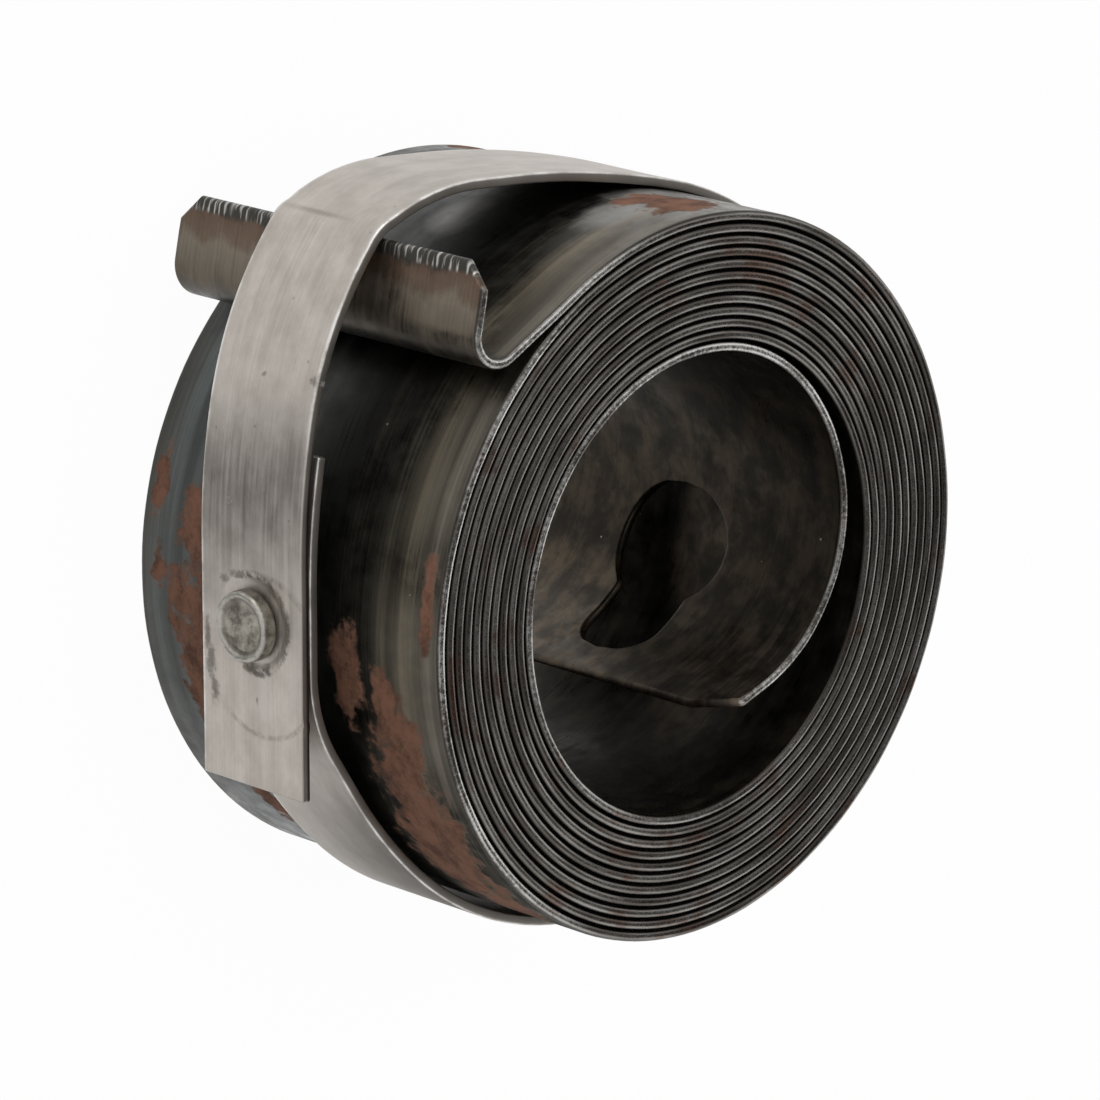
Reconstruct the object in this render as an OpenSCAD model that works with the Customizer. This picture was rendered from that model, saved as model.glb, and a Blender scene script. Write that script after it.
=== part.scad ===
// Return spring of a drill press: a flat steel strip wound into a spiral, kept wound by a riveted strap.
// Lengths are in millimetres and angles in degrees. The coil stands on one end face with its axis along Z.

/* [Strip] */
// Width of the spring strip, along the coil's axis
strip_width = 30; // [24:0.5:40]
// Thickness of the spring strip
strip_thickness = 0.75; // [0.5:0.05:0.9]

/* [Coil] */
// Diameter over the outermost turn
coil_diameter = 52; // [48:0.5:64]
// Space between neighbouring turns
turn_gap = 0.075; // [0.05:0.005:0.15]
// Full turns between the inner loop and the hook
full_turns = 11; // [7:1:12]
// Direction in which the first full turn starts
coil_start = 98.6; // [85:0.1:110]

/* [Inner loop] */
// How much smaller the loop's first bend is than the innermost turn
first_ease = 2; // [1:0.1:3]
// Angle of the loop's first bend
first_turn = 81.6; // [70:0.1:90]
// How much smaller the loop's second bend is than its first
second_ease = 2.8; // [1.5:0.1:4]
// Angle of the loop's second bend
second_turn = 76; // [65:0.1:85]
// Straight length at the strip's inner end
end_straight = 4.5; // [2:0.1:6]
// Length cut off each corner of the inner end, along the strip
end_corner_length = 1.8; // [0.5:0.1:2.5]
// Height cut off each corner of the inner end, across the strip
end_corner_height = 4; // [1:0.1:6]

/* [Keyhole] */
// Diameter of the keyhole's round head
keyhole_head = 9.7; // [7:0.1:12]
// Width of the keyhole's slot
keyhole_slot = 6.2; // [4:0.1:7]
// Length from the middle of the head to the middle of the slot's round end
keyhole_length = 7.2; // [5:0.1:9]
// Metal left between the slot and the strip's inner end
keyhole_margin = 2.9; // [2:0.1:5]
// How far the keyhole lies below the middle of the strip's width
keyhole_drop = 0.3; // [0:0.1:2]

/* [Hook] */
// Direction from the axis in which the strip leaves the coil
hook_start = 129; // [115:0.5:140]
// Straight length between the coil and the hook's bend
hook_straight = 7.4; // [5:0.1:10]
// Inside radius of the hook's bend
hook_bend = 1.7; // [1:0.1:3]
// Angle of the hook's bend
hook_turn = 129; // [115:0.5:140]
// Straight length of the hook's flange
hook_flange = 4.65; // [3:0.05:7]
// Size of the corners cut off the flange
hook_corner = 1.85; // [0.5:0.05:2.5]

/* [Strap] */
// Width of the strap
strap_width = 10; // [7:0.1:14]
// Thickness of the strap
strap_thickness = 0.7; // [0.4:0.05:1]
// How far the middle of the strap lies above the middle of the strip's width
strap_rise = 0.4; // [-2:0.1:2]
// Space between the strap and the outermost turn
strap_clearance = 0.05; // [0.05:0.01:0.3]
// Angle from X, going up, over which the strap hugs the coil
hug_up = 85.3; // [75:0.1:90]
// Radius of the shallow bow where the strap lifts off the top of the coil
top_bow = 80; // [50:1:120]
// Angle of that bow
top_bow_turn = 12; // [8:0.1:16]
// Radius of the bend that leads down to the hook
shoulder = 17; // [10:0.1:20]
// Angle of that bend
shoulder_turn = 24.6; // [20:0.1:30]
// Inside radius of the crease over the hook's tip
crease = 2.85; // [1.5:0.05:4]
// Angle of the crease
crease_turn = 30.6; // [20:0.1:40]
// Space between the hook's tip and the strap
crease_clearance = 0.25; // [0.1:0.05:0.6]
// Radius of the bow beside the hook
side_bow = 25; // [20:0.5:40]
// Angle of that bow
side_bow_turn = 28; // [22:0.1:34]
// Radius of the bend that leads into the straight tail
tail_ease = 50; // [35:1:80]
// Angle of that bend
tail_ease_turn = 11; // [7:0.1:15]
// Length of the straight tail
tail_length = 16.4; // [12:0.1:22]

/* [Strap underlap] */
// Angle from X, going down, over which the strap hugs the coil
hug_down = 122; // [110:0.5:130]
// Radius of the bend where the strap lifts off the underside of the coil
lift = 37; // [25:0.5:50]
// Angle of that bend
lift_turn = 14; // [8:0.1:18]
// Radius of the bend that lays the inner layer against the tail
heel = 11.5; // [7:0.1:15]
// Space between the two layers at the rivet
layer_gap = 0.1; // [0.05:0.05:0.3]
// Length of the flat seat that the inner layer has for the rivet
seat_length = 5.6; // [5:0.1:8]
// Radius of the bend in the inner layer's free end
lap_bend = 50; // [35:1:80]
// Length of the inner layer's free end
lap_length = 9.5; // [5:0.1:12]

/* [Rivet] */
// Diameter of the rivet's shank
rivet_shank = 3; // [2:0.1:3.5]
// Space around the shank in its holes
rivet_clearance = 0.05; // [0.05:0.01:0.2]
// Diameter of the outer head
rivet_head = 5; // [4:0.1:6]
// Height of the outer head
rivet_head_height = 1.1; // [0.8:0.05:1.6]
// Rounding of the outer head's rim
rivet_rim = 0.55; // [0.2:0.05:0.7]
// Width of the raised lip on the outer head
rivet_lip = 0.45; // [0.2:0.05:0.8]
// Depth of the dish inside the lip
rivet_dish = 0.2; // [0.05:0.05:0.4]
// Diameter of the inner head
rivet_foot = 4.4; // [3.8:0.1:5]
// Height of the inner head
rivet_foot_height = 0.7; // [0.4:0.05:1]
// Room between the inner head and the coil, measured from the strap's straight tail
rivet_room = 0.7; // [0.3:0.05:1.5]

/* [Hidden] */
$fa = 3;
$fs = 0.3;

STEEL = [0.24, 0.24, 0.25];
ALUMINIUM = [0.78, 0.77, 0.75];
RIVET_GREY = [0.62, 0.61, 0.58];

// Past-the-surface allowance of cutting shapes
over = 1;
// How far a tie laps each of the two steps that it joins
tie_lap = 0.2;

// Lengths that are worked out are kept to a thousandth, so that neighbouring stretches meet exactly
function rounded(length) = round(length * 1000) / 1000;

// Coil sizes on the middle of the strip
pitch = 4 * rounded((strip_thickness + turn_gap) / 4);
first_radius = rounded(coil_diameter / 2 - strip_thickness / 2 - full_turns * pitch);
last_radius = first_radius + full_turns * pitch;
strap_radius = coil_diameter / 2 + strap_clearance + strap_thickness / 2;
strap_base = strip_width / 2 + strap_rise - strap_width / 2;

// A run is a list of steps, each [radius, turn] for a bend or [0, length] for a straight.
// It starts at the origin along +Y, and a positive turn bends to the left.
loop_run = [
    [first_radius - first_ease, -first_turn],
    [first_radius - first_ease - second_ease, -second_turn],
    [0, end_straight]
];
hook_run = [
    [last_radius + pitch / 4, hook_start - coil_start],
    [0, hook_straight],
    [hook_bend + strip_thickness / 2, -hook_turn],
    [0, hook_flange]
];

// Place and heading [x, y, direction] at the end of one step and of a whole run
function toward(angle) = [cos(angle), sin(angle)];
function left_of(angle) = [-sin(angle), cos(angle)];
function spot(place) = [place[0], place[1]];
function step_end(place, step) =
    step[0] == 0
        ? let(end = spot(place) + step[1] * toward(place[2])) [end[0], end[1], place[2]]
        : let(arm = sign(step[1]) * step[0],
              heading = place[2] + step[1],
              end = spot(place) + arm * (left_of(place[2]) - left_of(heading)))
          [end[0], end[1], heading];
function run_end(place, run, i = 0) =
    i == len(run) ? place : run_end(step_end(place, run[i]), run, i + 1);

// Length of a step, and the steps that lie between two lengths along a run
function step_length(step) = step[0] == 0 ? step[1] : step[0] * abs(step[1]) * PI / 180;
function step_cut(step, length) =
    step[0] == 0 ? [0, length] : [step[0], sign(step[1]) * length / step[0] * 180 / PI];
function run_length(run, i = 0) = i == len(run) ? 0 : step_length(run[i]) + run_length(run, i + 1);
function run_between(run, from, to, i = 0) =
    i == len(run) ? []
        : let(length = step_length(run[i]),
              start = min(max(from, 0), length),
              end = min(max(to, 0), length))
          concat(end > start ? [step_cut(run[i], end - start)] : [],
                 run_between(run, from - length, to - length, i + 1));

function crossed(a, b) = a[0] * b[1] - a[1] * b[0];

// The strap's upper run goes over the hook's tip: two straights bring the crease's centre to it.
hook_origin = step_end([0, 0, coil_start], [0, last_radius]);
hook_tip = run_end([hook_origin[0], hook_origin[1], coil_start + 90], hook_run);
tip_corner = spot(hook_tip) + strip_thickness / 2 * left_of(hook_tip[2]);
strap_start = [strap_radius, 0, 90];
hug_end = run_end(strap_start, [[strap_radius, hug_up], [top_bow, top_bow_turn]]);
shoulder_end = step_end(hug_end, [shoulder, shoulder_turn]);
crease_radius = crease + strap_thickness / 2;
crease_middle = shoulder_end[2] + crease_turn / 2;
crease_target = tip_corner + (crease - crease_clearance) * left_of(crease_middle);
crease_shift = crease_target - spot(shoulder_end) - crease_radius * left_of(shoulder_end[2]);
crease_spread = crossed(toward(hug_end[2]), toward(shoulder_end[2]));
top_straight = rounded(crossed(crease_shift, toward(shoulder_end[2])) / crease_spread);
drop_straight = rounded(crossed(toward(hug_end[2]), crease_shift) / crease_spread);
crease_run = [
    [strap_radius, hug_up],
    [top_bow, top_bow_turn],
    [0, top_straight],
    [shoulder, shoulder_turn],
    [0, drop_straight],
    [crease_radius, crease_turn]
];

// A third straight, below the crease, leaves room for the rivet's inner head between the tail and the coil.
side_run = [[side_bow, side_bow_turn], [tail_ease, tail_ease_turn]];
crease_end = run_end(strap_start, crease_run);
near_tail = run_end(crease_end, side_run);
near_reach = -spot(near_tail) * left_of(near_tail[2]);
layers = 1.5 * strap_thickness + layer_gap;
tail_reach = coil_diameter / 2 + rivet_room + rivet_foot_height + layers;
side_straight = rounded((near_reach - tail_reach) / (toward(crease_end[2]) * left_of(near_tail[2])));
over_run = concat(crease_run, [[0, side_straight]], side_run);
tail_start = run_end(strap_start, over_run);

// The strap's lower run ends flat against the tail: one straight sets the space between the layers.
under_start = [strap_radius, 0, -90];
lift_end = run_end(under_start, [[strap_radius, -hug_down], [lift, -lift_turn]]);
heel_turn = lift_end[2] - (tail_start[2] - 360 - 180);
heel_end = step_end(lift_end, [heel, -heel_turn]);
layer_line = spot(tail_start) + (strap_thickness + layer_gap) * left_of(tail_start[2]);
layer_shift = (layer_line - spot(heel_end)) * left_of(tail_start[2]);
lift_straight = rounded(layer_shift / (toward(lift_end[2]) * left_of(tail_start[2])));
under_run = [
    [strap_radius, -hug_down],
    [lift, -lift_turn],
    [0, lift_straight],
    [heel, -heel_turn],
    [0, seat_length],
    step_cut([lap_bend, -1], lap_length)
];
seat_start = run_end(under_start, [for (i = [0 : 3]) under_run[i]]);

// The rivet stands in the middle of the inner layer's flat seat.
rivet_spot = spot(seat_start) + seat_length / 2 * toward(seat_start[2]);
rivet_along = rounded((rivet_spot - spot(tail_start)) * toward(tail_start[2]));

// Moves its children by whole thousandths and then by the remainder, which keeps the place exact.
module shift(place) {
    whole = [rounded(place[0]), rounded(place[1])];
    translate(whole) translate(place - whole) children();
}

// Moves its children to the end of one step, or to the end of a run.
module to_end(step) {
    end = step_end([0, 0, 90], step);
    shift(spot(end)) rotate(end[2] - 90) children();
}

module after(run, i = 0) {
    if (i == len(run))
        children();
    else
        to_end(run[i]) after(run, i + 1) children();
}

// Section of a strip that reaches from a low to a high edge
module section(thickness, low, high) {
    translate([-thickness / 2, low]) square([thickness, high - low]);
}

// Sweeps the children's section along one step; a bend is drawn as a half turn, to be cut at its end.
module stretch(step) {
    if (step[0] == 0)
        translate([0, step[1], 0]) rotate([90, 0, 0]) linear_extrude(step[1]) children();
    else
        translate([step[1] < 0 ? step[0] : -step[0], 0, 0])
            rotate_extrude(angle = 180) translate([step[0], 0]) children();
}

// Block ahead of a bend's end, where the half turn is cut off
module ahead(radius) {
    reach = 2 * radius + 2 * strip_width;
    translate([-reach, 0, -reach]) cube([2 * reach, reach, 2 * reach]);
}

// Blocks below and above a band of the coil's height, which trim what is swept past it to one plane
module beyond(low, high) {
    reach = 2 * coil_diameter;
    for (base = [low - 2 * over, high])
        translate([-reach, -reach, base]) cube([2 * reach, 2 * reach, 2 * over]);
}

// Block inside a strip, which laps the ends of the two steps that meet at the origin
module tie(thickness, low, high) {
    translate([-thickness / 4, -tie_lap, (3 * low + high) / 4])
        cube([thickness / 2, 2 * tie_lap, (high - low) / 2]);
}

// Sweeps a strip along a run.
module sweep(run, thickness, low, high, i = 0) {
    if (i < len(run)) {
        difference() {
            stretch(run[i]) section(thickness, low, high);
            if (run[i][0] > 0) to_end(run[i]) ahead(run[i][0]);
        }
        if (i > 0) tie(thickness, low, high);
        to_end(run[i]) sweep(run, thickness, low, high, i + 1);
    }
}

// The two strips are swept taller than they are by the allowance at both edges.
module sweep_strip(run) {
    sweep(run, strip_thickness, -over, strip_width + over);
}

module sweep_strap(run) {
    sweep(run, strap_thickness, strap_base - over, strap_base + strap_width + over);
}

// Half turns about two centres, a quarter of the pitch either side of the axis, join into a smooth spiral.
module coil() {
    for (k = [0 : 2 * full_turns - 1]) {
        back = k % 2;
        translate([(back - 0.5) * pitch / 2, 0, 0])
            rotate_extrude(angle = 180, start = 180 * back)
                translate([first_radius + (k + 0.5) * pitch / 2, 0])
                    section(strip_thickness, -over, strip_width + over);
    }
}

// Cuts both corners off a strip that ends at the origin; the cutter runs on past both of their edges.
module corner_cuts(length, height) {
    for (top = [0, 1])
        translate([-over, 0, strip_width * top]) mirror([0, 0, top])
            rotate([90, 0, 90]) linear_extrude(2 * over)
                polygon([[-1.5 * length, -height / 2], [length / 2, 1.5 * height], [length / 2, -height / 2]]);
}

// The keyhole's cutter, laid along the inner loop
module keyhole() {
    slot_end = run_length(loop_run) - keyhole_margin - keyhole_slot / 2;
    head_at = slot_end - keyhole_length;
    slot_run = run_between(loop_run, head_at, slot_end);
    depth = 4 * strip_thickness + 2 * over;
    translate([0, 0, strip_width / 2 - keyhole_drop]) after(run_between(loop_run, 0, head_at)) {
        rotate([0, 90, 0]) cylinder(d = keyhole_head, h = depth, center = true);
        sweep(slot_run, depth, -keyhole_slot / 2, keyhole_slot / 2);
        after(slot_run) rotate([0, 90, 0]) cylinder(d = keyhole_slot, h = depth, center = true);
    }
}

// The strip's turns and its hook
module spiral_spring() {
    color(STEEL) rotate(coil_start) difference() {
        union() {
            coil();
            translate([last_radius, 0, 0]) {
                tie(strip_thickness, 0, strip_width);
                sweep_strip(hook_run);
            }
        }
        beyond(0, strip_width);
        translate([last_radius, 0, 0]) after(hook_run) corner_cuts(hook_corner, hook_corner);
    }
}

// The strip's inner end, which goes on from the first turn, face to face with it
module inner_loop() {
    color(STEEL) rotate(coil_start) difference() {
        translate([first_radius, 0, 0]) rotate(180) sweep_strip(loop_run);
        beyond(0, strip_width);
        translate([first_radius, 0, 0]) rotate(180) {
            keyhole();
            after(loop_run) corner_cuts(end_corner_length, end_corner_height);
        }
    }
}

// Moves its children to the rivet's axis on the tail's middle, pointing out of the strap.
module at_rivet() {
    translate([strap_radius, 0, strap_base + strap_width / 2]) after(over_run)
        translate([0, rivet_along, 0]) rotate([0, 90, 0]) children();
}

module retaining_strap() {
    hole = rivet_shank + 2 * rivet_clearance;
    color(ALUMINIUM) difference() {
        translate([strap_radius, 0, 0]) {
            tie(strap_thickness, strap_base, strap_base + strap_width);
            sweep_strap(concat(over_run, [[0, tail_length]]));
            rotate(180) sweep_strap(under_run);
        }
        beyond(strap_base, strap_base + strap_width);
        at_rivet() translate([0, 0, -2 * strap_thickness - over])
            cylinder(d = hole, h = 3 * strap_thickness + 2 * over);
    }
}

// Half outline of the rivet: heads against the strap's two faces, and a dished outer head with a raised lip
module rivet_outline() {
    seat = strap_thickness / 2;
    foot_seat = -layers;
    top = seat + rivet_head_height;
    rim_middle = rivet_head / 2 - rivet_rim;
    translate([0, foot_seat - rivet_foot_height]) square([rivet_foot / 2, rivet_foot_height]);
    translate([0, foot_seat]) square([rivet_shank / 2, seat - foot_seat]);
    translate([0, seat]) square([rivet_head / 2, rivet_head_height - rivet_rim]);
    difference() {
        union() {
            translate([0, seat]) square([rim_middle, rivet_head_height]);
            translate([rim_middle, top - rivet_rim]) circle(rivet_rim);
        }
        translate([-rivet_head, top - rivet_dish]) square([1.5 * rivet_head - rivet_rim - rivet_lip, over]);
        translate([-rivet_head, seat - rivet_head]) square([rivet_head, 3 * rivet_head]);
    }
}

module strap_rivet() {
    color(RIVET_GREY) at_rivet() rotate_extrude() rivet_outline();
}

spiral_spring();
inner_loop();
retaining_strap();
strap_rivet();
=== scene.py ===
"""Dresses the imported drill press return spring: its wound strip, its retaining strap and its rivet."""
import logging
import math
from collections.abc import Callable
from dataclasses import dataclass
from enum import Enum

import bmesh
import bpy
from mathutils import Matrix, Vector, noise


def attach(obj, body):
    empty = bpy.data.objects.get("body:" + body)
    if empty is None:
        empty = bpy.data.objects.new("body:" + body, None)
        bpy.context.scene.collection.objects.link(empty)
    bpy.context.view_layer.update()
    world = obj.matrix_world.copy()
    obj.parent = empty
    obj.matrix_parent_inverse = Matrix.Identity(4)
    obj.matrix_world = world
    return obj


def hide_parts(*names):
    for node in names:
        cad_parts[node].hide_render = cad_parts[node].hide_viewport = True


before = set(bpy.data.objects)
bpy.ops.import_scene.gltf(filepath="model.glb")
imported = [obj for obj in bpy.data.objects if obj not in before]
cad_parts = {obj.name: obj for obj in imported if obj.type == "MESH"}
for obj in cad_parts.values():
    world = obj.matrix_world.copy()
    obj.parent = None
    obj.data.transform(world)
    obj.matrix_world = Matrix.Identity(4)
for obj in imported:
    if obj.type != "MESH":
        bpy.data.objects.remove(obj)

LOG = logging.getLogger("return_spring")
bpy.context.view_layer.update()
MM = 0.001

Colour = tuple[float, float, float]
# Two distances from a mark in millimetres: an effect is absent at the first and full at the second
Fade = tuple[float, float]
Socket = bpy.types.NodeSocket


class Side(Enum):
    """Which rays see the plain white of the floor and of the surroundings."""

    CAMERA = "Is Camera Ray"
    GLOSSY = "Is Glossy Ray"
    TRANSMISSION = "Is Transmission Ray"


# Runs that the two strips follow


@dataclass(frozen=True)
class Step:
    """One stretch of a strip's run: a straight of some millimetres, or a bend of some degrees to the left."""

    radius: float
    amount: float

    def length(self) -> float:
        """Length of the stretch in millimetres."""
        return self.amount if self.radius == 0 else self.radius * math.radians(abs(self.amount))

    def turned(self) -> "Step":
        """The same stretch, followed the other way."""
        return self if self.radius == 0 else Step(self.radius, -self.amount)


@dataclass(frozen=True)
class Place:
    """A point of a run in millimetres, and the direction of the run there in degrees."""

    x: float
    y: float
    heading: float

    def after(self, step: Step, share: float = 1.0) -> "Place":
        """Goes on along a step.

        Args:
            step: The stretch to follow.
            share: How much of it is followed, from 0 to 1.

        Returns:
            The place that is reached.
        """
        reach = step.amount * share
        turn = 0.0
        if step.radius > 0:
            turn = step.amount * share
            reach = 2 * step.radius * math.sin(math.radians(abs(turn)) / 2)
        middle = math.radians(self.heading + turn / 2)
        return Place(
            self.x + reach * math.cos(middle), self.y + reach * math.sin(middle), self.heading + turn
        )

    def turned(self) -> "Place":
        """The same point, looking back."""
        return Place(self.x, self.y, self.heading + 180)

    def outward(self) -> Vector:
        """Direction to the right of the run."""
        side = math.radians(self.heading - 90)
        return Vector((math.cos(side), math.sin(side), 0.0))

    def point(self, height: float, out: float = 0.0) -> Vector:
        """Point in metres over this place.

        Args:
            height: Height over the floor in millimetres.
            out: Distance to the right of the run in millimetres.

        Returns:
            The point in the part's frame.
        """
        return (Vector((self.x, self.y, height)) + out * self.outward()) * MM


@dataclass(frozen=True)
class Run:
    """A line of steps that a strip follows from one end to the other."""

    start: Place
    steps: tuple[Step, ...]

    def length(self) -> float:
        """Length of the whole run in millimetres."""
        return sum(step.length() for step in self.steps)

    def at(self, along: float) -> Place:
        """Place at a length along the run.

        Args:
            along: Length from the start in millimetres.

        Returns:
            The place there.
        """
        place = self.start
        for step in self.steps:
            length = step.length()
            if along <= length:
                return place.after(step, max(along, 0.0) / length)
            along -= length
            place = place.after(step)
        return place

    def turned(self) -> "Run":
        """The same run, followed from its other end."""
        return Run(self.at(self.length()).turned(), tuple(step.turned() for step in reversed(self.steps)))

    def stations(self, stride: float, bend: float) -> list[float]:
        """Spreads stations along the run.

        Args:
            stride: Longest distance between stations in millimetres.
            bend: Widest angle between stations in degrees.

        Returns:
            The stations' lengths from the start, with the end of each step among them.
        """
        found = [0.0]
        for step in self.steps:
            length = step.length()
            count = math.ceil(length / stride)
            if step.radius > 0:
                count = max(count, math.ceil(abs(step.amount) / bend))
            begin = found[-1]
            found += [begin + length * (k + 1) / count for k in range(count)]
        return found


def thinned(stations: list[float], least: float) -> list[float]:
    """Sorts stations and leaves out those that lie too close to the one before.

    Args:
        stations: Lengths along a run.
        least: Least distance to keep.

    Returns:
        The stations that are kept.
    """
    kept: list[float] = []
    for along in sorted(stations):
        if not kept or along - kept[-1] >= least:
            kept.append(along)
    return kept


def waves(along: float, lengths: tuple[float, ...], seed: float) -> float:
    """Adds a few sine waves into a slow, even wander between -1 and 1.

    Args:
        along: Length along a strip.
        lengths: Wave lengths in millimetres.
        seed: Shift of the waves.

    Returns:
        The height of the wander.
    """
    total = sum(math.sin(2 * math.pi * along / length + seed * (k + 1)) for k, length in enumerate(lengths))
    return total / len(lengths)


def held(value: float) -> float:
    """Holds a value between 0 and 1."""
    return max(0.0, min(1.0, value))


# Meshes


def new_piece(name: str, mesh: bmesh.types.BMesh, material: bpy.types.Material) -> bpy.types.Object:
    """Makes an object of a finished mesh.

    Args:
        name: Name of the piece.
        mesh: The mesh, which is freed here.
        material: The piece's finish.

    Returns:
        The new object, linked to the scene.
    """
    data = bpy.data.meshes.new(name)
    for face in mesh.faces:
        face.smooth = True
    mesh.to_mesh(data)
    mesh.free()
    data.materials.append(material)
    piece = bpy.data.objects.new(name, data)
    bpy.context.scene.collection.objects.link(piece)
    return piece


def thicken(piece: bpy.types.Object, thickness: float, rounding: float, segments: int) -> None:
    """Gives a sheet its thickness and rounds its edges.

    Args:
        piece: The sheet, which lies in the middle of the metal.
        thickness: Thickness of the metal in millimetres.
        rounding: Width of the rounding of its edges in millimetres.
        segments: Faces across each rounding.
    """
    shell = piece.modifiers.new("thickness", "SOLIDIFY")
    shell.thickness = thickness * MM
    shell.offset = 0.0
    shell.use_even_offset = True
    shell.use_quality_normals = True
    edge = piece.modifiers.new("rounded_edges", "BEVEL")
    edge.width = rounding * MM
    edge.segments = segments
    edge.profile = 0.5
    edge.limit_method = "ANGLE"
    edge.angle_limit = math.radians(50)
    edge.use_clamp_overlap = False


class Sheet:
    """A sheet rolled out station by station along a run, with the place along it kept on its points."""

    join_within = 0.002

    def __init__(self, run: Run) -> None:
        """Starts an empty sheet on a run."""
        self.run = run
        self.mesh = bmesh.new()
        self.along = self.mesh.verts.layers.float.new("along")

    def roll(self, stations: list[float], heights_at: Callable[[float], list[float]]) -> None:
        """Extrudes a row of edges along the run.

        Args:
            stations: Lengths along the run, in order.
            heights_at: Gives the heights of the row's points at a station, from low to high.
        """
        heights = heights_at(stations[0])
        row = [self.mesh.verts.new((0.0, 0.0, height)) for height in heights]
        edges = [self.mesh.edges.new(pair) for pair in zip(row, row[1:])]
        self.settle(row, stations[0], heights)
        for station in stations[1:]:
            made = bmesh.ops.extrude_edge_only(self.mesh, edges=edges)["geom"]
            row = [item for item in made if isinstance(item, bmesh.types.BMVert)]
            row.sort(key=lambda vert: vert.co.z)
            edges = [self.mesh.edges.get(pair) for pair in zip(row, row[1:])]
            self.settle(row, station, heights_at(station))

    def settle(self, row: list[bmesh.types.BMVert], station: float, heights: list[float]) -> None:
        """Puts a row of points in its place.

        Args:
            row: Points from low to high.
            station: Length along the run.
            heights: Height of each point in millimetres.
        """
        place = self.run.at(station)
        for vert, height in zip(row, heights):
            vert.co = place.point(height)
            vert[self.along] = station

    def close(self) -> None:
        """Joins what was rolled out side by side, and turns all faces the same way."""
        bmesh.ops.remove_doubles(self.mesh, verts=self.mesh.verts[:], dist=self.join_within * MM)
        bmesh.ops.recalc_face_normals(self.mesh, faces=self.mesh.faces[:])

    def metal(self, name: str, material: bpy.types.Material, thickness: float, rounding: float,
              segments: int) -> bpy.types.Object:
        """Makes the sheet a piece of metal whose points know how far out of the sheet they lie.

        Args:
            name: Name of the piece.
            material: Its finish.
            thickness: Thickness of the metal in millimetres.
            rounding: Width of the rounding of its edges in millimetres.
            segments: Faces across each rounding.

        Returns:
            The finished piece.
        """
        piece = new_piece(name, self.mesh, material)
        thicken(piece, thickness, rounding, segments)
        graph = bpy.context.evaluated_depsgraph_get()
        sheet = piece.data
        solid = piece.evaluated_get(graph)
        data = bpy.data.meshes.new_from_object(solid, preserve_all_data_layers=True, depsgraph=graph)
        piece.modifiers.clear()
        piece.data = data
        bpy.data.meshes.remove(sheet)
        data.name = name
        along = data.attributes["along"].data
        out = data.attributes.new("out", "FLOAT", "POINT").data
        places: dict[float, Place] = {}
        for vert in data.vertices:
            station = along[vert.index].value
            if station not in places:
                places[station] = self.run.at(station)
            gap = vert.co - places[station].point(0.0)
            out[vert.index].value = gap.dot(places[station].outward()) / MM
        shading = piece.modifiers.new("even_shading", "WEIGHTED_NORMAL")
        shading.keep_sharp = False
        return piece


# Shader nodes


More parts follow.
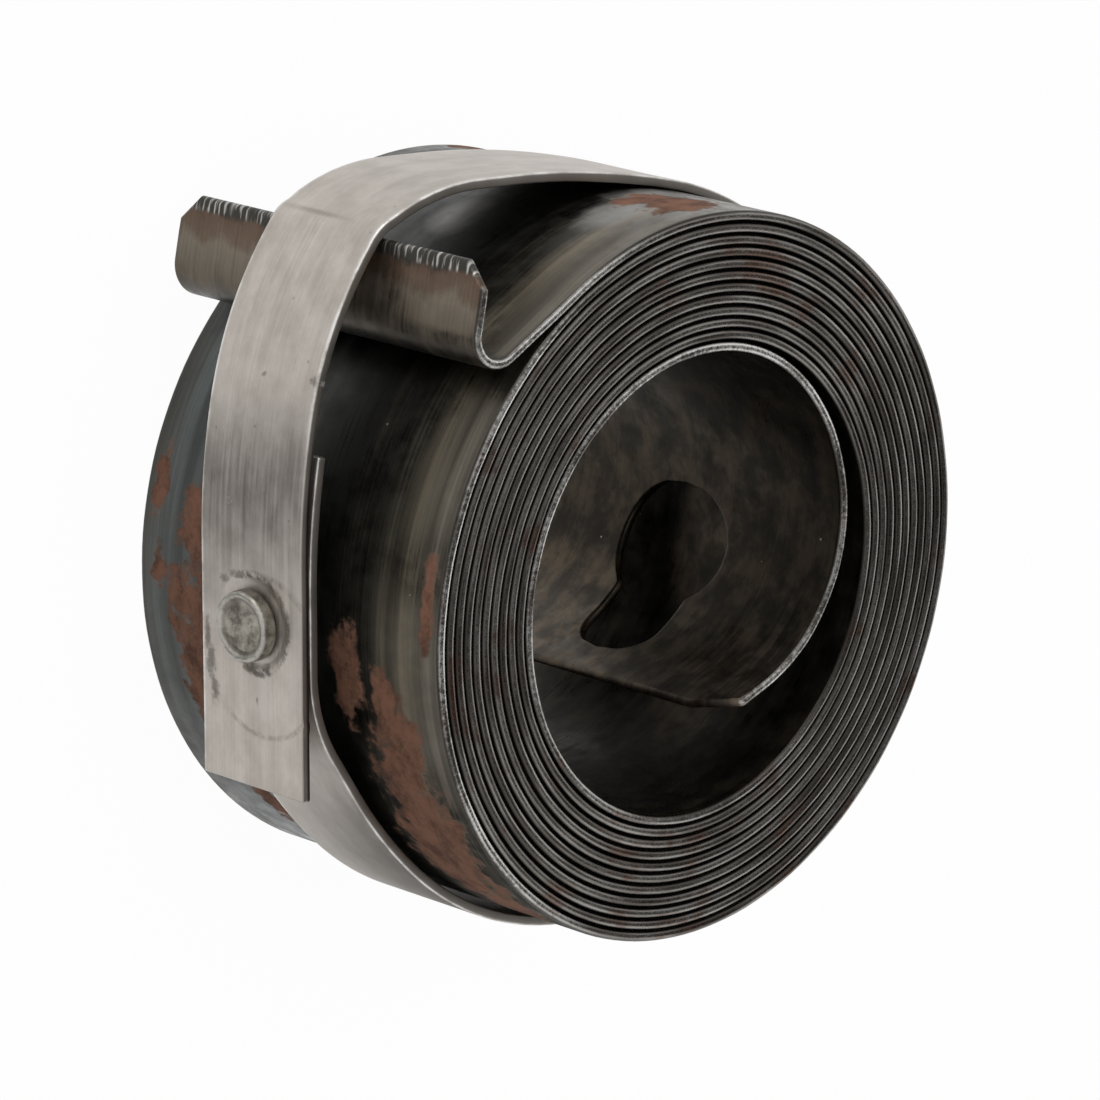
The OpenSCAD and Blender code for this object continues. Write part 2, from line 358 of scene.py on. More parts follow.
class Board:
    """Lays out the nodes of one shader tree."""

    def __init__(self, tree: bpy.types.NodeTree) -> None:
        """Takes over a tree."""
        self.tree = tree

    def add(self, kind: str, **settings: object) -> bpy.types.Node:
        """Adds a node and sets its properties."""
        node = self.tree.nodes.new(kind)
        for name, value in settings.items():
            setattr(node, name, value)
        return node

    def feed(self, target: Socket, value: object) -> None:
        """Links a socket, or sets its value.

        Args:
            target: Socket that takes the value.
            value: Another socket, a number, or a colour or vector.
        """
        if isinstance(value, bpy.types.NodeSocket):
            self.tree.links.new(value, target)
        elif target.type == "RGBA":
            target.default_value = (*value[:3], 1.0)
        else:
            target.default_value = value

    def math(self, operation: str, *values: object) -> Socket:
        """Works out one sum on numbers or sockets."""
        node = self.add("ShaderNodeMath", operation=operation)
        for target, value in zip(node.inputs, values):
            self.feed(target, value)
        return node.outputs[0]

    def plus(self, first: object, second: object) -> Socket:
        """Sum of two numbers or sockets."""
        return self.math("ADD", first, second)

    def minus(self, first: object, second: object) -> Socket:
        """Difference of two numbers or sockets."""
        return self.math("SUBTRACT", first, second)

    def times(self, first: object, second: object) -> Socket:
        """Product of two numbers or sockets."""
        return self.math("MULTIPLY", first, second)

    def larger(self, first: object, second: object) -> Socket:
        """Larger of two numbers or sockets."""
        return self.math("MAXIMUM", first, second)

    def spread(self, value: object, low: object, high: object, start: object = 0.0,
               end: object = 1.0) -> Socket:
        """Turns a value smoothly from start, at low, into end, at high."""
        node = self.add("ShaderNodeMapRange", interpolation_type="SMOOTHSTEP", clamp=True)
        for target, given in zip(node.inputs, (value, low, high, start, end)):
            self.feed(target, given)
        return node.outputs[0]

    def past(self, value: object, mark: float, fade: Fade) -> Socket:
        """Turns a value smoothly from 0 into 1 between two distances from a mark."""
        return self.spread(value, mark + fade[0], mark + fade[1])

    def blend(self, share: object, first: object, second: object, way: str = "MIX") -> Socket:
        """Mixes two colours."""
        node = self.add("ShaderNodeMix", data_type="RGBA", blend_type=way, clamp_factor=True)
        self.feed(node.inputs[0], share)
        self.feed(node.inputs[6], first)
        self.feed(node.inputs[7], second)
        return node.outputs[2]

    def vector(self, x: object, y: object, z: object = 0.0) -> Socket:
        """Joins three values into a vector."""
        node = self.add("ShaderNodeCombineXYZ")
        for target, value in zip(node.inputs, (x, y, z)):
            self.feed(target, value)
        return node.outputs[0]

    def noise(self, vector: Socket, scale: float, detail: float = 3.0, rough: float = 0.55) -> Socket:
        """Noise between about 0.25 and 0.75 over a vector."""
        node = self.add("ShaderNodeTexNoise", noise_dimensions="3D")
        self.feed(node.inputs["Vector"], vector)
        self.feed(node.inputs["Scale"], scale)
        self.feed(node.inputs["Detail"], detail)
        self.feed(node.inputs["Roughness"], rough)
        return node.outputs["Fac"]

    def stretched(self, place: tuple[Socket, Socket], stretch: tuple[float, float], seed: object,
                  detail: float = 3.0, rough: float = 0.55) -> Socket:
        """Noise over a strip, with its own scale along and across it."""
        parts = (self.times(value, scale) for value, scale in zip(place, stretch))
        return self.noise(self.vector(*parts, seed), 1.0, detail, rough)

    def shaded(self, colour: Socket, level: Socket) -> Socket:
        """Multiplies a colour by a level."""
        return self.blend(1.0, colour, self.vector(level, level, level), "MULTIPLY")

    def point(self) -> Socket:
        """The shaded point in the part's frame, in millimetres."""
        scale = self.add("ShaderNodeVectorMath", operation="SCALE")
        self.feed(scale.inputs[0], self.add("ShaderNodeTexCoord").outputs["Object"])
        self.feed(scale.inputs["Scale"], 1 / MM)
        return scale.outputs[0]

    def relief(self, shader: bpy.types.Node, height: Socket, strength: float, depth: float) -> None:
        """Makes a shader's surface uneven.

        Args:
            shader: The shader.
            height: Height of the unevenness, from about 0 to 1.
            strength: Strength of the effect.
            depth: Its depth in millimetres.
        """
        bump = self.add("ShaderNodeBump")
        self.feed(bump.inputs["Strength"], strength)
        self.feed(bump.inputs["Distance"], depth * MM)
        self.feed(bump.inputs["Height"], height)
        self.feed(shader.inputs["Normal"], bump.outputs[0])

    def cells(self, vector: Socket, scale: float) -> Socket:
        """Distance to the nearest of many scattered points."""
        node = self.add("ShaderNodeTexVoronoi", feature="F1")
        self.feed(node.inputs["Vector"], vector)
        self.feed(node.inputs["Scale"], scale)
        return node.outputs["Distance"]

    def ramp(self, value: Socket, stops: tuple[tuple[float, Colour], ...]) -> Socket:
        """Colour ramp over a value from 0 to 1."""
        node = self.add("ShaderNodeValToRGB")
        self.feed(node.inputs[0], value)
        elements = node.color_ramp.elements
        elements[0].position, elements[1].position = stops[0][0], stops[-1][0]
        elements[0].color, elements[1].color = (*stops[0][1], 1.0), (*stops[-1][1], 1.0)
        for position, colour in stops[1:-1]:
            elements.new(position).color = (*colour, 1.0)
        return node.outputs[0]

    def group(self, tree: bpy.types.NodeTree, **values: object) -> bpy.types.Node:
        """Places a node group; an underscore in a name stands for a space."""
        node = self.add("ShaderNodeGroup", node_tree=tree)
        for name, value in values.items():
            self.feed(node.inputs[name.replace("_", " ")], value)
        return node


def new_group(name: str, takes: tuple[str, ...], gives: tuple[str, ...]) -> tuple[Board, Socket, Socket]:
    """Starts a shader node group whose sockets are all plain values.

    Args:
        name: Name of the group.
        takes: Names of its inputs.
        gives: Names of its outputs.

    Returns:
        The group's board, its inputs and its outputs.
    """
    tree = bpy.data.node_groups.new(name, "ShaderNodeTree")
    for label in takes:
        tree.interface.new_socket(name=label, in_out="INPUT", socket_type="NodeSocketFloat")
    for label in gives:
        tree.interface.new_socket(name=label, in_out="OUTPUT", socket_type="NodeSocketFloat")
    board = Board(tree)
    return board, board.add("NodeGroupInput").outputs, board.add("NodeGroupOutput").inputs


class SharedEffects:
    """Node groups that more than one finish uses."""

    def __init__(self) -> None:
        """Builds each group once."""
        self.patch = self.build_patch()
        self.rolled = self.build_rolled()
        self.dust = self.build_dust()

    def build_patch(self) -> bpy.types.NodeTree:
        """Oval patch: 1 in its middle, 0 on its rim and less outside."""
        board, given, out = new_group(
            "oval_patch", ("Along", "Height", "Centre Along", "Centre Height", "Length", "Width"), ("Reach",)
        )
        ahead = board.minus(given["Along"], given["Centre Along"])
        above = board.minus(given["Height"], given["Centre Height"])
        ahead = board.math("DIVIDE", ahead, given["Length"])
        above = board.math("DIVIDE", above, given["Width"])
        squares = board.plus(board.times(ahead, ahead), board.times(above, above))
        board.feed(out["Reach"], board.minus(1.0, board.math("SQRT", squares)))
        return board.tree

    def build_rolled(self) -> bpy.types.NodeTree:
        """Rolled strip: soft streaks and fine lines that run along it, and a mottle."""
        board, given, out = new_group(
            "rolled_strip", ("Along", "Height", "Seed"), ("Streaks", "Lines", "Mottle")
        )
        place, seed = (given["Along"], given["Height"]), given["Seed"]
        board.feed(out["Streaks"], board.stretched(place, (0.02, 0.55), seed))
        board.feed(out["Lines"], board.stretched(place, (0.07, 5.0), seed, rough=0.65))
        board.feed(out["Mottle"], board.stretched(place, (0.35, 0.5), seed, 4.0, 0.64))
        return board.tree

    def build_dust(self) -> bpy.types.NodeTree:
        """Scattered small specks; Spacing is their distance and Size their radius, in millimetres."""
        board, given, out = new_group("specks", ("Along", "Height", "Spacing", "Size", "Seed"), ("Mask",))
        ahead = board.math("DIVIDE", given["Along"], given["Spacing"])
        above = board.math("DIVIDE", given["Height"], given["Spacing"])
        distance = board.cells(board.vector(ahead, above, given["Seed"]), 1.0)
        size = board.math("DIVIDE", given["Size"], given["Spacing"])
        board.feed(out["Mask"], board.math("LESS_THAN", distance, size))
        return board.tree


def new_material(name: str) -> tuple[bpy.types.Material, Board, bpy.types.Node]:
    """Starts a material with one Principled shader.

    Args:
        name: Name of the material.

    Returns:
        The material, its board and its shader.
    """
    material = bpy.data.materials.new(name)
    material.use_nodes = True
    board = Board(material.node_tree)
    return material, board, material.node_tree.nodes["Principled BSDF"]


def strip_place(board: Board) -> tuple[Socket, Socket, Socket, Socket]:
    """Reads where a point lies on a strip.

    Args:
        board: The material's board.

    Returns:
        Place along the strip, height, place across the thickness and the point itself, in millimetres.
    """
    along = board.add("ShaderNodeAttribute", attribute_name="along").outputs["Fac"]
    out = board.add("ShaderNodeAttribute", attribute_name="out").outputs["Fac"]
    point = board.point()
    parts = board.add("ShaderNodeSeparateXYZ")
    board.feed(parts.inputs[0], point)
    return along, parts.outputs["Z"], out, point


@dataclass(frozen=True)
class Patch:
    """An oval patch on a strip: its middle along it and in height, and its half sizes, in millimetres."""

    along: float
    height: float
    length: float
    width: float


def patches_reach(board: Board, tree: bpy.types.NodeTree, place: tuple[Socket, Socket],
                  patches: tuple[Patch, ...]) -> Socket:
    """Joins patches into one value.

    Args:
        board: The material's board.
        tree: The oval patch group.
        place: Place along the strip, and height on it.
        patches: The patches.

    Returns:
        How far inside the nearest patch a point lies, from 1 in its middle to less than 0 outside.
    """
    reach: Socket | None = None
    for patch in patches:
        node = board.group(tree, Along=place[0], Height=place[1], Centre_Along=patch.along,
                           Centre_Height=patch.height, Length=patch.length, Width=patch.width)
        found = node.outputs["Reach"]
        reach = found if reach is None else board.larger(reach, found)
    return reach


# The spring


@dataclass(frozen=True)
class SpringFinish:
    """Blackened and oiled spring steel with rust and bare rolled edges, with painted highlights, reflections
    and shade.
    """

    rust_dark: Colour = (0.085, 0.04, 0.026)
    rust_light: Colour = (0.205, 0.1, 0.064)
    # Pale blue-grey of the painted reflection under the strap
    scale: Colour = (0.25, 0.245, 0.232)
    # Painted shade in the grooves between the turns
    groove: Colour = (0.022, 0.019, 0.017)
    edge_dark: Colour = (0.1, 0.088, 0.077)
    edge_light: Colour = (0.34, 0.322, 0.3)
    edge_rust: Colour = (0.15, 0.083, 0.058)
    # Painted highlight with wear on the edges of the loop, the hook and part of the last turn
    highlight_wear_dim: Colour = (0.3, 0.285, 0.265)
    highlight_wear_bright: Colour = (0.8, 0.785, 0.755)
    sheared: Colour = (0.45, 0.438, 0.415)
    inner: Colour = (0.03, 0.026, 0.021)
    inner_brown: Colour = (0.068, 0.054, 0.039)
    dark_streak: Colour = (0.02, 0.02, 0.018)
    speck: Colour = (0.5, 0.49, 0.46)
    # Painted light in the loop: from 14 mm to 4 mm along the strip the inner face goes from 0.75 to 1.9 times
    # as light
    painted_end_light: tuple[float, float, float, float] = (14.0, 4.0, 0.75, 1.9)
    loop_fade: Fade = (6.0, -6.0)
    flange_fade: Fade = (-2.0, 1.0)
    edge_fade: Fade = (-0.42, -0.2)
    sheared_fade: Fade = (-1.15, -0.75)
    highlight_wear_loop: Fade = (75.0, 5.0)
    highlight_wear_hook: Fade = (-12.0, 2.0)
    highlight_turn_starts: tuple[float, float] = (129.0, 150.0)
    highlight_turn_stops: tuple[float, float] = (270.0, 225.0)
    crest_starts: tuple[float, float] = (0.32, 0.36)
    crest_full: float = 0.12
    flange_by_reach: tuple[tuple[float, Colour], ...] = (
        (0.0, (0.05, 0.045, 0.038)),
        (0.3, (0.13, 0.11, 0.086)),
        (0.55, (0.165, 0.14, 0.11)),
        (0.66, (0.125, 0.092, 0.068)),
        (0.82, (0.115, 0.078, 0.057)),
        (0.9, (0.042, 0.04, 0.036)),
        (1.0, (0.05, 0.046, 0.04)),
    )
    # Colours by height over the strip's width: the dark stop at 0.66 is painted shade beside the strap's
    # upper edge, and the pale olive stop at 0.87 is a painted reflection band
    face_tone_and_light_by_height: tuple[tuple[float, Colour], ...] = (
        (0.0, (0.085, 0.083, 0.075)),
        (0.12, (0.088, 0.098, 0.096)),
        (0.3, (0.075, 0.078, 0.074)),
        (0.66, (0.024, 0.024, 0.021)),
        (0.8, (0.075, 0.067, 0.052)),
        (0.87, (0.185, 0.158, 0.115)),
        (0.93, (0.122, 0.108, 0.085)),
        (1.0, (0.185, 0.166, 0.135)),
    )

    def build(self, effects: SharedEffects, spring: "SpiralSpring") -> bpy.types.Material:
        """Builds the material.

        Args:
            effects: Shared node groups.
            spring: The spring, which knows where its loop, its hook and its rust lie.

        Returns:
            The finished material.
        """
        material, board, shader = new_material("spring_steel")
        along, height, out, point = strip_place(board)
        place = (along, height)
        rolled = board.group(effects.rolled, Along=along, Height=height, Seed=3.0)
        streaks, lines, mottle = (rolled.outputs[name] for name in ("Streaks", "Lines", "Mottle"))
        cloud = board.noise(point, 0.45, 4.0, 0.64)
        grit = board.noise(point, 3.2, 2.0, 0.7)
        length = spring.run.length()

        # Faces: bands along the strip, with painted shade beside the strap's upper edge and a painted
        # reflection band near the top; brown and mottled in the loop, scratched on the hook
        wander = board.times(board.minus(streaks, 0.5), 0.18)
        level = board.plus(board.math("DIVIDE", height, spring.strip_width), wander)
        face = board.ramp(level, self.face_tone_and_light_by_height)
        face = board.blend(board.spread(streaks, 0.35, 0.65, 0.55, 0.0), face, self.dark_streak)
        inner = board.blend(board.spread(mottle, 0.38, 0.66), self.inner, self.inner_brown)
        # Painted light: the inner face is lighter towards the loop's free end and darker beyond it
        inner = board.shaded(inner, board.spread(along, *self.painted_end_light))
        face = board.blend(board.past(along, spring.inner_reach(), self.loop_fade), face, inner)
        flange_start = length - spring.flange_length()
        reach = board.math("DIVIDE", board.minus(along, flange_start), spring.flange_length())
        reach = board.plus(reach, board.times(board.minus(mottle, 0.5), 0.5))
        flange = board.ramp(reach, self.flange_by_reach)
        face = board.blend(board.past(along, flange_start, self.flange_fade), face, flange)
        # Painted reflection: pale patches on the outermost turn under the strap
        pale = patches_reach(board, effects.patch, place, spring.painted_reflection_patches())
        pale = board.spread(board.plus(pale, board.minus(cloud, 0.5)), 0.0, 0.6)
        face = board.blend(board.times(pale, 0.8), face, self.scale)
        face = board.shaded(face, board.spread(lines, 0.3, 0.7, 0.86, 1.16))

        # Rust in ragged patches
        reach = patches_reach(board, effects.patch, place, spring.rust_patches())
        ragged = board.times(board.minus(cloud, 0.5), 2.6)
        rust = board.spread(board.plus(reach, ragged), -0.06, 0.42)
        grains = board.plus(board.times(mottle, 0.8), board.times(grit, 0.2))
        rust_colour = board.blend(board.spread(grains, 0.34, 0.6), self.rust_dark, self.rust_light)
        face = board.blend(board.times(rust, 0.95), face, rust_colour)

        # Edges: bare on their crests, lighter there as a painted highlight, with painted shade in the grooves
        # between the turns
        middle = spring.strip_width / 2
        off_middle = board.math("ABSOLUTE", board.minus(height, middle))
        edge = board.past(off_middle, middle, self.edge_fade)
        drawn = board.stretched((along, out), (0.12, 2.0), 2.0)
        bare = board.blend(board.spread(drawn, 0.35, 0.65), self.edge_dark, self.edge_light)
        tint = board.spread(board.noise(point, 0.22, 3.0, 0.6), 0.54, 0.66)
        bare = board.blend(board.times(tint, 0.7), bare, self.edge_rust)

        # The edges of the loop, the hook and part of the last turn are painted brighter, as a highlight with
        # some wear
        last_turn = board.times(
            board.spread(along, *(spring.outer_at(angle) for angle in self.highlight_turn_starts)),
            board.spread(along, *(spring.outer_at(angle) for angle in self.highlight_turn_stops)),
        )
        first_turn = board.past(along, spring.loop_length(), self.highlight_wear_loop)
        on_hook = board.past(along, spring.hook_at(), self.highlight_wear_hook)
        ends = board.larger(board.larger(first_turn, last_turn), on_hook)
        nicks = board.spread(board.plus(drawn, board.times(grit, 0.5)), 0.6, 0.85, 0.2, 1.0)
        rubbed = board.spread(board.plus(drawn, board.times(grit, 0.6)), 0.65, 0.95)
        highlight_and_wear = board.blend(rubbed, self.highlight_wear_dim, self.highlight_wear_bright)
        bare = board.blend(board.times(ends, nicks), bare, highlight_and_wear)
        # Painted highlight along the crests, painted shade in the grooves between the turns
        crest_start = board.spread(ends, 0.0, 1.0, *self.crest_starts)
        crest = board.spread(board.math("ABSOLUTE", out), crest_start, self.crest_full)
        bare = board.blend(crest, self.groove, bare)
        colour = board.blend(edge, face, bare)

        # The hook's sheared end, streaked across the thickness, and specks of dust
        tooth = board.stretched(place, (0.35, 3.2), 1.0, 2.0)
        end = board.past(along, length, self.sheared_fade)
        colour = board.blend(board.times(end, 0.9), colour, self.flange_by_reach[-1][1])
        colour = board.blend(board.times(end, board.spread(tooth, 0.5, 0.66)), colour, self.sheared)
        specks = board.group(effects.dust, Along=along, Height=height, Spacing=4.2, Size=0.09, Seed=1.0)
        colour = board.blend(board.times(specks.outputs["Mask"], 0.5), colour, self.speck)
        board.feed(shader.inputs["Base Color"], colour)
        shader.inputs["Specular IOR Level"].default_value = 0.2

        # Gloss and relief
        smooth = board.spread(cloud, 0.3, 0.7, 0.3, 0.5)
        smooth = board.plus(smooth, board.spread(lines, 0.3, 0.7, -0.06, 0.06))
        smooth = board.spread(edge, 0.0, 1.0, smooth, board.spread(grit, 0.35, 0.65, 0.24, 0.34))
        rust = board.times(rust, board.minus(1.0, edge))
        board.feed(shader.inputs["Roughness"], board.spread(rust, 0.0, 1.0, smooth, 0.88))
        board.feed(shader.inputs["Metallic"], board.spread(rust, 0.0, 1.0, 0.94, 0.0))
        board.relief(shader, board.plus(board.times(lines, 0.35), board.times(cloud, 0.5)), 0.35, 0.05)
        return material


@dataclass
class SpiralSpring:
    """The wound strip, from its inner loop's free end to its hook's tip. Sizes are in millimetres."""

    strip_width: float = 30.0
    strip_thickness: float = 0.75
    coil_diameter: float = 52.0
    turn_gap: float = 0.074
    full_turns: int = 11
    coil_start: float = 98.6
    loop: tuple[Step, ...] = (Step(14.561, -81.6), Step(11.761, -76.0), Step(0.0, 4.5))
    end_corner: tuple[float, float] = (1.8, 4.0)
    keyhole_head: float = 9.7
    keyhole_slot: float = 6.2
    keyhole_length: float = 7.2
    keyhole_margin: float = 2.9
    keyhole_drop: float = 0.3
    hook_start: float = 129.0
    hook: tuple[Step, ...] = (Step(0.0, 7.4), Step(2.075, -129.0), Step(0.0, 4.65))
    hook_corner: float = 1.85
    edge_wander: float = 0.03
    rounding: float = 0.36
    segments: int = 5
    stride: float = 1.0
    bend: float = 3.0
    clear_of_fine: float = 0.25
    least_gap: float = 0.1

    def __post_init__(self) -> None:
        """Lays the strip's run from its inner end to the hook's tip."""
        pitch = self.strip_thickness + self.turn_gap
        last = self.coil_diameter / 2 - self.strip_thickness / 2
        first = last - self.full_turns * pitch
        angle = math.radians(self.coil_start)
        begin = Place(first * math.cos(angle), first * math.sin(angle), self.coil_start - 90)
        inward = Run(begin, self.loop).turned()
        turns = tuple(Step(first + (k + 0.5) * pitch / 2, 180.0) for k in range(2 * self.full_turns))
        lead = Step(last + pitch / 4, self.hook_start - self.coil_start)
        self.outer_radius = lead.radius
        self.run = Run(inward.start, inward.steps + turns + (lead,) + self.hook)

    def hook_at(self) -> float:
        """Length along the strip at which it leaves the coil."""
        return self.run.length() - sum(step.length() for step in self.hook)

    def flange_length(self) -> float:
        """Length of the hook from the middle of its bend to its tip."""
        return self.hook[-1].length() + self.hook[-2].length() / 2

    def painted_reflection_patches(self) -> tuple[Patch, ...]:
        """Painted reflection of light through the gap under the strap: pale blue-grey patches on the
        outermost turn, by direction, height, half length and half width.
        """
        seen = ((468.5, 24.2, 4.0, 2.6), (479.0, 14.2, 3.4, 2.4), (458.0, 21.5, 4.0, 2.0))
        return tuple(Patch(self.outer_at(angle), *sizes) for angle, *sizes in seen)

    def loop_length(self) -> float:
        """Length of the inner loop."""
        return sum(step.length() for step in self.loop)

    def inner_reach(self) -> float:
        """Length along the strip up to which its inner face shows in the hollow."""
        return self.loop_length() + math.pi * 2 * self.run.steps[len(self.loop)].radius

    def outer_at(self, angle: float) -> float:
        """Length along the strip at which the outermost turn passes a direction.

        Args:
            angle: Direction from the axis, from where the hook leaves the coil to one turn on.

        Returns:
            The length in millimetres.
        """
        return self.hook_at() - math.radians(self.hook_start + 360 - angle) * self.outer_radius

    def rust_patches(self) -> tuple[Patch, ...]:
        """Rust on the outermost turn, by direction, height, half length and half width.

        The patches from 300 to 418 degrees are on the hidden side, and are made up.
        """
        seen = (
            (186.5, 5.7, 3.4, 2.4), (195.4, 1.9, 1.7, 0.9), (200.5, 5.6, 3.8, 2.7),
            (213.5, 5.0, 3.8, 1.7), (237.0, 6.4, 3.8, 1.2), (162.5, 5.4, 1.9, 0.9),
            (169.0, 6.0, 1.6, 0.8), (181.0, 1.5, 3.0, 0.9), (200.5, 20.8, 2.4, 1.6),
            (206.5, 21.0, 2.6, 1.6), (208.0, 24.2, 3.4, 1.3), (216.0, 25.0, 4.4, 2.8),
            (227.0, 25.0, 5.0, 3.6), (239.0, 24.6, 5.5, 4.2), (252.0, 25.4, 5.0, 3.0),
            (190.0, 28.6, 3.8, 0.8), (450.0, 1.3, 2.8, 0.8), (459.0, 26.6, 4.0, 2.4),
            (461.0, 23.2, 2.8, 1.5), (300.0, 8.0, 4.0, 2.2), (338.0, 21.5, 3.5, 2.4),
            (382.0, 12.0, 3.0, 2.0), (418.0, 4.5, 3.5, 1.8),
        )
        return tuple(Patch(self.outer_at(angle), *sizes) for angle, *sizes in seen)

    def keyhole_places(self) -> tuple[float, float]:
        """Lengths along the strip at the middles of the slot's round end and of the keyhole's head."""
        slot_end = self.keyhole_margin + self.keyhole_slot / 2
        return slot_end, slot_end + self.keyhole_length

    def edges_at(self, along: float) -> tuple[float, float, float, float]:
        """Heights of the strip's edges and of its keyhole at a station.

        Args:
            along: Length from the inner end.

        Returns:
            Bottom edge, lower and upper side of the keyhole, and top edge.
        """
        length, height = self.end_corner
        cut = max(0.0, height * (1 - along / length))
        left = self.run.length() - along
        cut = max(cut, self.hook_corner - left)
        slot_end, head = self.keyhole_places()
        half = 0.0
        if abs(along - head) < self.keyhole_head / 2:
            half = math.sqrt((self.keyhole_head / 2) ** 2 - (along - head) ** 2)
        if slot_end <= along <= head:
            half = max(half, self.keyhole_slot / 2)
        elif abs(along - slot_end) < self.keyhole_slot / 2:
            half = max(half, math.sqrt((self.keyhole_slot / 2) ** 2 - (along - slot_end) ** 2))
        middle = self.strip_width / 2 - self.keyhole_drop
        bottom = self.edge_wander * (1 + waves(along, (41.0, 17.3, 6.1), 1.7)) + cut
        top = self.strip_width - self.edge_wander * (1 + waves(along, (37.0, 15.1, 5.3), 4.1)) - cut
        return bottom, middle - half, middle + half, top

    def stations(self) -> list[float]:
        """Stations along the strip, closer at the keyhole's round ends and at the corners."""
        slot_end, head = self.keyhole_places()
        shares = [math.cos(math.radians(angle)) for angle in (0, *range(14, 170, 8), 180)]
        fine = [slot_end - self.keyhole_slot / 2 * share for share in shares if share > 0]
        fine += [head + self.keyhole_head / 2 * share for share in shares]
        fine += [0.0, self.end_corner[0], self.run.length(), self.run.length() - self.hook_corner]
        plain = [
            along for along in self.run.stations(self.stride, self.bend)
            if all(abs(along - mark) > self.clear_of_fine for mark in fine)
        ]
        return thinned(fine + plain, self.least_gap)

    def build(self, effects: SharedEffects) -> bpy.types.Object:
        """Builds and dresses the spring.

        Args:
            effects: Shared node groups.

        Returns:
            The finished piece.
        """
        sheet = Sheet(self.run)
        stations = self.stations()
        sheet.roll(stations, lambda along: list(self.edges_at(along)[:2]))
        sheet.roll(stations, lambda along: list(self.edges_at(along)[2:]))
        sheet.close()
        finish = SpringFinish().build(effects, self)
        return sheet.metal("wound_strip", finish, self.strip_thickness, self.rounding, self.segments)


# The strap


